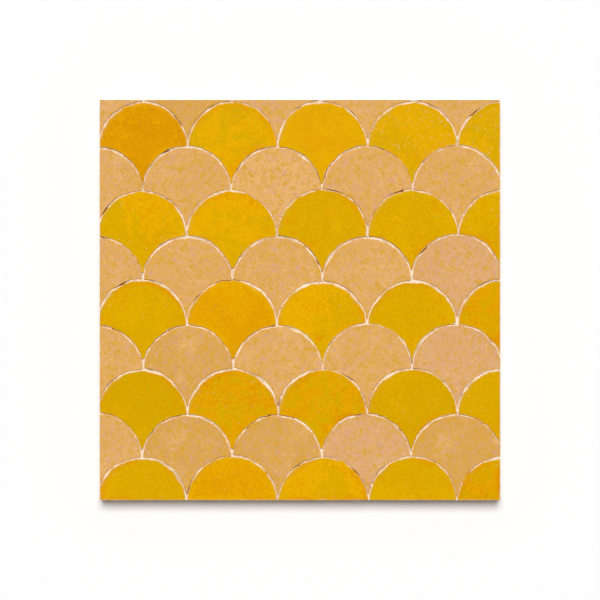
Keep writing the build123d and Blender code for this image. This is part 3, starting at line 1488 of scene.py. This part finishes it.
@dataclass
class HandCutScale:
    """One scale, cut by hand and set in its place."""

    pattern: ScalePattern
    colour: ScaleColour
    row: int
    column: int
    face_finish: bpy.types.Material
    flank_finish: bpy.types.Material
    fit: float = 0.75
    hollow_shift: float = -0.12 * MM
    joint_spread: float = 0.35 * MM
    tightness: float = 0.25 * MM
    tail_spread: float = 1.9 * MM
    tail_slant: float = 0.35
    tilt: float = 0.006
    sink: float = 0.30 * MM
    tail_share: float = 0.74

    # Where the heart lies, aside and up, as shares of the crown's radius or of what is left of it.
    HEART_OF_TAIL = (0.15, 0.55)
    HEART_OF_CROWN = (0.36, 0.40)
    HEART_OF_HALF = (0.27, 0.27)
    HEART_OF_WHOLE = (0.0, 0.12)

    @property
    def name(self) -> str:
        """The name of the scale's node."""
        return f"{self.colour.value}_scale_{self.row}_{self.column}"

    @property
    def slot(self) -> str:
        """The record's material slot for the scale."""
        return "yellow_glaze" if self.colour is ScaleColour.YELLOW else "bare_clay"

    @property
    def seed(self) -> int:
        """A number of the scale's own, which everything uneven in it follows."""
        return self.row * 10 + self.column + (100 if self.colour is ScaleColour.CLAY else 0)

    def heart(self, centre: Vector) -> tuple[Vector, float]:
        """Finds a point from which the whole outline of the trimmed scale is in sight.

        Args:
            centre: The middle of the scale's crown.

        Returns:
            The point, and the bearing from it to the scale's tail.
        """
        radius = self.pattern.crown_radius
        half = self.pattern.panel_half
        above = min(half - centre.y, radius)
        below = -half - centre.y
        cut_in_half = abs(centre.x) > half
        side = -math.copysign(1.0, centre.x) if cut_in_half else 0.0
        if above < radius:
            aside, up = self.HEART_OF_TAIL
            rise = up * above
        elif below > 0:
            aside, up = self.HEART_OF_CROWN
            rise = below + up * (radius - below)
        else:
            aside, up = self.HEART_OF_HALF if cut_in_half else self.HEART_OF_WHOLE
            rise = up * radius
        offset = Vector((side * aside * radius, rise, 0.0))
        tail_x = abs(centre.x) - half if cut_in_half else 0.0
        tail = Vector((side * tail_x, -self.tail_share * radius, 0.0))
        way = tail - offset
        return centre + offset, math.atan2(way.y, way.x)

    def start(self, cutter: PlannedTree, shrinkage: float = 0.0) -> bpy.types.Object:
        """Gives the chisel its marks.

        Args:
            cutter: The tree that cuts scales.
            shrinkage: How far the mortar drew back from the scale, for a recess in place of a scale.

        Returns:
            The scale's object, not yet evaluated.
        """
        chance = random.Random(self.seed)
        pattern = self.pattern
        shift = Vector((self.hollow_shift, 0.0, 0.0))
        heart, tail_bearing = self.heart(pattern.centre(self.colour, self.row, self.column))
        centre, radius = pattern.laid(self.colour, self.row, self.column)
        hollows = []
        for neighbour in pattern.below(self.colour, self.row, self.column):
            mark = pattern.centre(*neighbour)
            place, its_radius = pattern.laid(*neighbour)
            usual_radius = pattern.usual_radius(neighbour[0])
            followed = usual_radius + (its_radius - usual_radius) * self.fit
            joint = pattern.joint_width - self.tightness + chance.uniform(-1, 1) * self.joint_spread
            flares = Vector((*pattern.flares(*neighbour), 0.0))
            hollows.append((mark.lerp(place, self.fit) + shift, followed + joint, flares))
        reach = pattern.tail_reach + chance.uniform(-1, 1) * self.tail_spread
        slant = chance.uniform(-self.tail_slant, self.tail_slant)
        askew = [chance.uniform(-self.tilt, self.tilt) for _ in range(2)]
        values = {
            "Centre": centre,
            "Crown Radius": radius,
            "Crown Flares": Vector((*pattern.flares(self.colour, self.row, self.column), 0.0)),
            "Heart": heart,
            "Left Hollow": hollows[0][0],
            "Left Radius": hollows[0][1],
            "Left Flares": hollows[0][2],
            "Right Hollow": hollows[1][0],
            "Right Radius": hollows[1][1],
            "Right Flares": hollows[1][2],
            "Tail Bearing": tail_bearing,
            "Tail End": centre - Vector((0.0, reach, 0.0)),
            "Tail Normal": Vector((math.sin(slant), -math.cos(slant), 0.0)),
            "Panel Half": pattern.panel_half,
            "Back Height": pattern.back_height,
            "Face Height": pattern.face_height,
            "Flank Slope": math.tan(pattern.flank_angle),
            "Tilt": Vector((*askew, chance.uniform(0.0, self.sink))),
            "Seed": float(self.seed),
            "Shrinkage": shrinkage,
            "Face Finish": self.face_finish,
            "Flank Finish": self.flank_finish,
        }
        return cutter.start(f"{'recess' if shrinkage else 'cut'}_{self.name}", values)


@dataclass(frozen=True)
class MortarBed:
    """The bed: a slab as wide as the panel, with a recess for every scale and uneven joints between."""

    panel_half: float
    joint_height: float
    cells: int = 400
    unevenness: float = 1.5 * MM
    unevenness_length: float = 26 * MM
    lump: float = 0.6 * MM
    lump_length: float = 7 * MM
    grain: float = 0.2 * MM
    grain_length: float = 2.2 * MM
    highest: float = 0.25 * MM
    shrinkage: float = 0.5 * MM
    slit_depth: float = 1.75 * MM
    weld: float = 0.001 * MM

    SOCKETS = {
        "Panel Side": "NodeSocketFloat",
        "Joint Height": "NodeSocketFloat",
        "Recesses": "NodeSocketCollection",
        "Mortar": "NodeSocketMaterial",
    }

    def plan(self) -> PlannedTree:
        """Lays out the tree: a slab with an uneven top, less the recesses.

        Returns:
            The tree, ready to cast the bed.
        """
        planned = PlannedTree("cast_mortar_bed", self.SOCKETS)
        wiring, given = planned.wiring, planned.given
        side = given["Panel Side"]
        feeds = {"Size X": side, "Size Y": side, "Vertices X": self.cells + 1, "Vertices Y": self.cells + 1}
        top = wiring.shape("MeshGrid", feeds)
        flat = wiring.node("GeometryNodeInputPosition").outputs[0]
        slump = wiring.times(wiring.swing(flat, self.unevenness_length, seed=3.0), self.unevenness)
        lumps = wiring.times(wiring.swing(flat, self.lump_length, seed=5.0), self.lump)
        grit = wiring.times(wiring.swing(flat, self.grain_length, rough=0.6, seed=4.0), self.grain)
        level = wiring.math("MINIMUM", wiring.total(slump, lumps, grit), self.highest)
        rise = wiring.join(0.0, 0.0, wiring.total(given["Joint Height"], level))
        top = wiring.shape("SetPosition", {"Geometry": top, "Offset": rise})
        walls, floor_edge = self.drop_border(wiring, top)
        slab = self.close_back(wiring, walls, floor_edge)
        recesses = wiring.shape("CollectionInfo", {"Collection": given["Recesses"]})
        recesses = wiring.shape("RealizeInstances", {"Geometry": recesses})
        cast = wiring.node("GeometryNodeMeshBoolean", operation="DIFFERENCE", solver="MANIFOLD")
        for socket, solid in zip(cast.inputs, (slab, recesses)):
            feeds = {"Geometry": solid, "Material": given["Mortar"]}
            wiring.feed(socket, wiring.shape("SetMaterial", feeds))
        bed = wiring.shape("RealizeInstances", {"Geometry": smoothed(wiring, cast.outputs["Mesh"])})
        planned.hand_out(wiring.shape("SetMaterial", {"Geometry": bed, "Material": given["Mortar"]}))
        return planned

    @staticmethod
    def drop_border(wiring: Wiring, top: Socket) -> tuple[Socket, Socket]:
        """Draws the top's border, where an edge has one face and not two, down to the back.

        Args:
            wiring: The tree's wiring.
            top: The slab's top.

        Returns:
            The top with its side walls, and the selection of their lower edges.
        """
        neighbours = wiring.node("GeometryNodeInputMeshEdgeNeighbors").outputs[0]
        border = wiring.math("LESS_THAN", neighbours, 1.5)
        drawn = wiring.node("GeometryNodeExtrudeMesh", {"Mesh": top, "Selection": border}, mode="EDGES")
        wiring.feed(drawn.inputs["Offset Scale"], 0.0)
        lower = drawn.outputs["Top"]
        x, y, _ = wiring.split(wiring.node("GeometryNodeInputPosition").outputs[0])
        feeds = {"Geometry": drawn.outputs["Mesh"], "Selection": lower, "Position": wiring.join(x, y, 0.0)}
        return wiring.shape("SetPosition", feeds), lower

    def close_back(self, wiring: Wiring, walls: Socket, lower: Socket) -> Socket:
        """Closes the slab's flat back.

        Args:
            wiring: The tree's wiring.
            walls: The slab without its back.
            lower: The selection of the side walls' lower edges.

        Returns:
            The closed slab.
        """
        drawn = wiring.node("GeometryNodeExtrudeMesh", {"Mesh": walls, "Selection": lower}, mode="EDGES")
        wiring.feed(drawn.inputs["Offset Scale"], 0.0)
        middle = wiring.join(0.0, 0.0, 0.0)
        feeds = {"Geometry": drawn.outputs["Mesh"], "Selection": drawn.outputs["Top"], "Position": middle}
        closed = wiring.shape("SetPosition", feeds)
        return wiring.shape("MergeByDistance", {"Geometry": closed, "Distance": self.weld})

    def cast(self, scales: list[HandCutScale], mortar: bpy.types.Material) -> bpy.types.Object:
        """Casts the bed round the scales.

        Args:
            scales: The scales that it holds.
            mortar: The bed's finish.

        Returns:
            The bed's object, with a plain mesh.
        """
        cutter = ScaleCutter(flank_rings=3, rim_rings=3, face_rings=2, slit_depth=self.slit_depth).plan()
        recesses = bpy.data.collections.new("recesses")
        for scale in scales:
            recesses.objects.link(scale.start(cutter, self.shrinkage))
        for recess in recesses.objects:
            PlannedTree.settle(recess)
        values = {
            "Panel Side": 2 * self.panel_half,
            "Joint Height": self.joint_height,
            "Recesses": recesses,
            "Mortar": mortar,
        }
        bed = self.plan().start("cast_mortar_bed", values)
        PlannedTree.settle(bed)
        for recess in list(recesses.objects):
            bpy.data.meshes.remove(recess.data)
        bpy.data.collections.remove(recesses)
        return bed


@dataclass(frozen=True)
class Studio:
    """A pale floor, soft light from the panel's top edge, and a camera straight above."""

    face_height: float
    panel_side: float
    photo_width: int = 600
    panel_width_in_photo: float = 400.5
    lens: float = 135.0
    sensor: float = 36.0
    floor_size: float = 16.0
    key_elevation: float = math.radians(67)
    key_spread: float = math.radians(34)
    key_share: float = 0.88
    sky_zenith: float = 0.02
    sky_horizon: float = 0.38
    paper: Clouds = Clouds(0.4, 2, 0.5, low=0.965, high=0.98)
    paper_roughness: float = 0.95

    def camera(self) -> None:
        """Hangs the camera so that the panel's face fills as much of the frame as in the photo."""
        data = bpy.data.cameras.new("camera")
        data.lens = self.lens
        data.sensor_width = self.sensor
        seen_width = self.panel_side * self.photo_width / self.panel_width_in_photo
        camera = bpy.data.objects.new("camera", data)
        camera.location = (0.0, 0.0, self.face_height + seen_width * self.lens / self.sensor)
        bpy.context.scene.collection.objects.link(camera)
        bpy.context.scene.camera = camera

    def lights(self) -> None:
        """Hangs one soft lamp far beyond the top edge, under a sky that is brightest at the horizon.

        The lamp is filtered so that it leaves no glare on the glaze, which mirrors the sky alone.
        """
        data = bpy.data.lights.new("key", "SUN")
        data.angle = self.key_spread
        data.energy = self.key_share * math.pi / math.sin(self.key_elevation)
        key = bpy.data.objects.new("key", data)
        out = Vector((0.0, math.cos(self.key_elevation), math.sin(self.key_elevation)))
        key.rotation_euler = out.to_track_quat("Z", "X").to_euler()
        key.visible_glossy = False
        bpy.context.scene.collection.objects.link(key)
        world = bpy.data.worlds.new("sky")
        world.use_nodes = True
        wiring = Wiring(world.node_tree)
        height = wiring.split(wiring.node("ShaderNodeTexCoord").outputs["Generated"])[2]
        level = wiring.between(height, 0.0, 1.0, self.sky_horizon, self.sky_zenith)
        wiring.feed(world.node_tree.nodes["Background"].inputs["Strength"], level)
        sky = world.node_tree.nodes["Background"].inputs["Color"]
        sky.default_value = (1.0, 1.0, 1.0, 1.0)
        bpy.context.scene.world = world

    def floor(self) -> None:
        """Lays the floor."""
        half = self.floor_size / 2
        mesh = bpy.data.meshes.new("floor")
        corners = [(-half, -half, 0.0), (half, -half, 0.0), (half, half, 0.0), (-half, half, 0.0)]
        mesh.from_pydata(corners, [], [(0, 1, 2, 3)])
        material, wiring, shader = new_material("floor_paper")
        place = wiring.node("ShaderNodeTexCoord").outputs["Object"]
        cloud = self.paper.mask(wiring, place)
        wiring.feed(shader.inputs["Base Color"], wiring.join(cloud, cloud, cloud))
        shader.inputs["Roughness"].default_value = self.paper_roughness
        shader.inputs["Specular IOR Level"].default_value = 0.0
        mesh.materials.append(material)
        floor = bpy.data.objects.new("floor", mesh)
        bpy.context.scene.collection.objects.link(floor)
        floor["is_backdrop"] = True


def set_piece(piece: bpy.types.Object, node: str, slot: str) -> None:
    """Puts a finished piece in the place of its node.

    Args:
        piece: The piece, with its plain mesh.
        node: The node that it stands for.
        slot: The record's material slot; not used.
    """
    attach(piece, BODY)
    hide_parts(node)
    low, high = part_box(node)
    off = 0.0
    for axis in range(3):
        reach = [corner[axis] for corner in piece.bound_box]
        off = max(off, abs(min(reach) - low[axis]), abs(max(reach) - high[axis]))
    mesh = piece.data
    mesh.calc_loop_triangles()
    LOG.info("%s: %d triangles, box off by %.2f mm", piece.name, len(mesh.loop_triangles), off / MM)


def choose_finishes(pattern: ScalePattern) -> list[HandCutScale]:
    """Mixes the finishes of the scales, and chooses those of each scale.

    Args:
        pattern: Where the scales lie.

    Returns:
        The scales, yellow rows first.
    """
    glazes = {glaze.tone: glaze.material() for glaze in GLAZES}
    clays = {clay.tone: clay.material() for clay in CLAYS}
    numbers = range(1, pattern.scales_across + 1)
    scales = []
    for colour, row, column in itertools.product(ScaleColour, numbers, numbers):
        clay = clays[tone_of(row, column, CLAY_TONES, ClayTone.SAND)]
        face = clay
        if colour is ScaleColour.YELLOW:
            face = glazes[tone_of(row, column, GLAZE_TONES, GlazeTone.MUSTARD)]
        scales.append(HandCutScale(pattern, colour, row, column, face, clay))
    return scales


def main() -> None:
    """Cuts and sets the scales, casts the bed, and lights the panel."""
    logging.basicConfig(level=logging.INFO, format="%(name)s %(message)s")
    bpy.context.scene.view_settings.view_transform = "Standard"
    cad_low, cad_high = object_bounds()
    back_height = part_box("yellow_scale_1_1")[0].z
    joint_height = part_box("mortar_bed")[1].z
    pattern = ScalePattern(cad_high.x, back_height, cad_high.z)
    scales = choose_finishes(pattern)
    cutter = ScaleCutter().plan()
    pieces = [scale.start(cutter) for scale in scales]
    for piece in pieces:
        PlannedTree.settle(piece)
    mortar = PaleMortar(pattern.panel_half, joint_height).material()
    bed = MortarBed(pattern.panel_half, joint_height).cast(scales, mortar)
    for scale, piece in zip(scales, pieces):
        set_piece(piece, scale.name, scale.slot)
    set_piece(bed, "mortar_bed", "mortar")
    studio = Studio(pattern.face_height, 2 * pattern.panel_half)
    studio.floor()
    studio.lights()
    studio.camera()


if __name__ == "__main__":
    main()
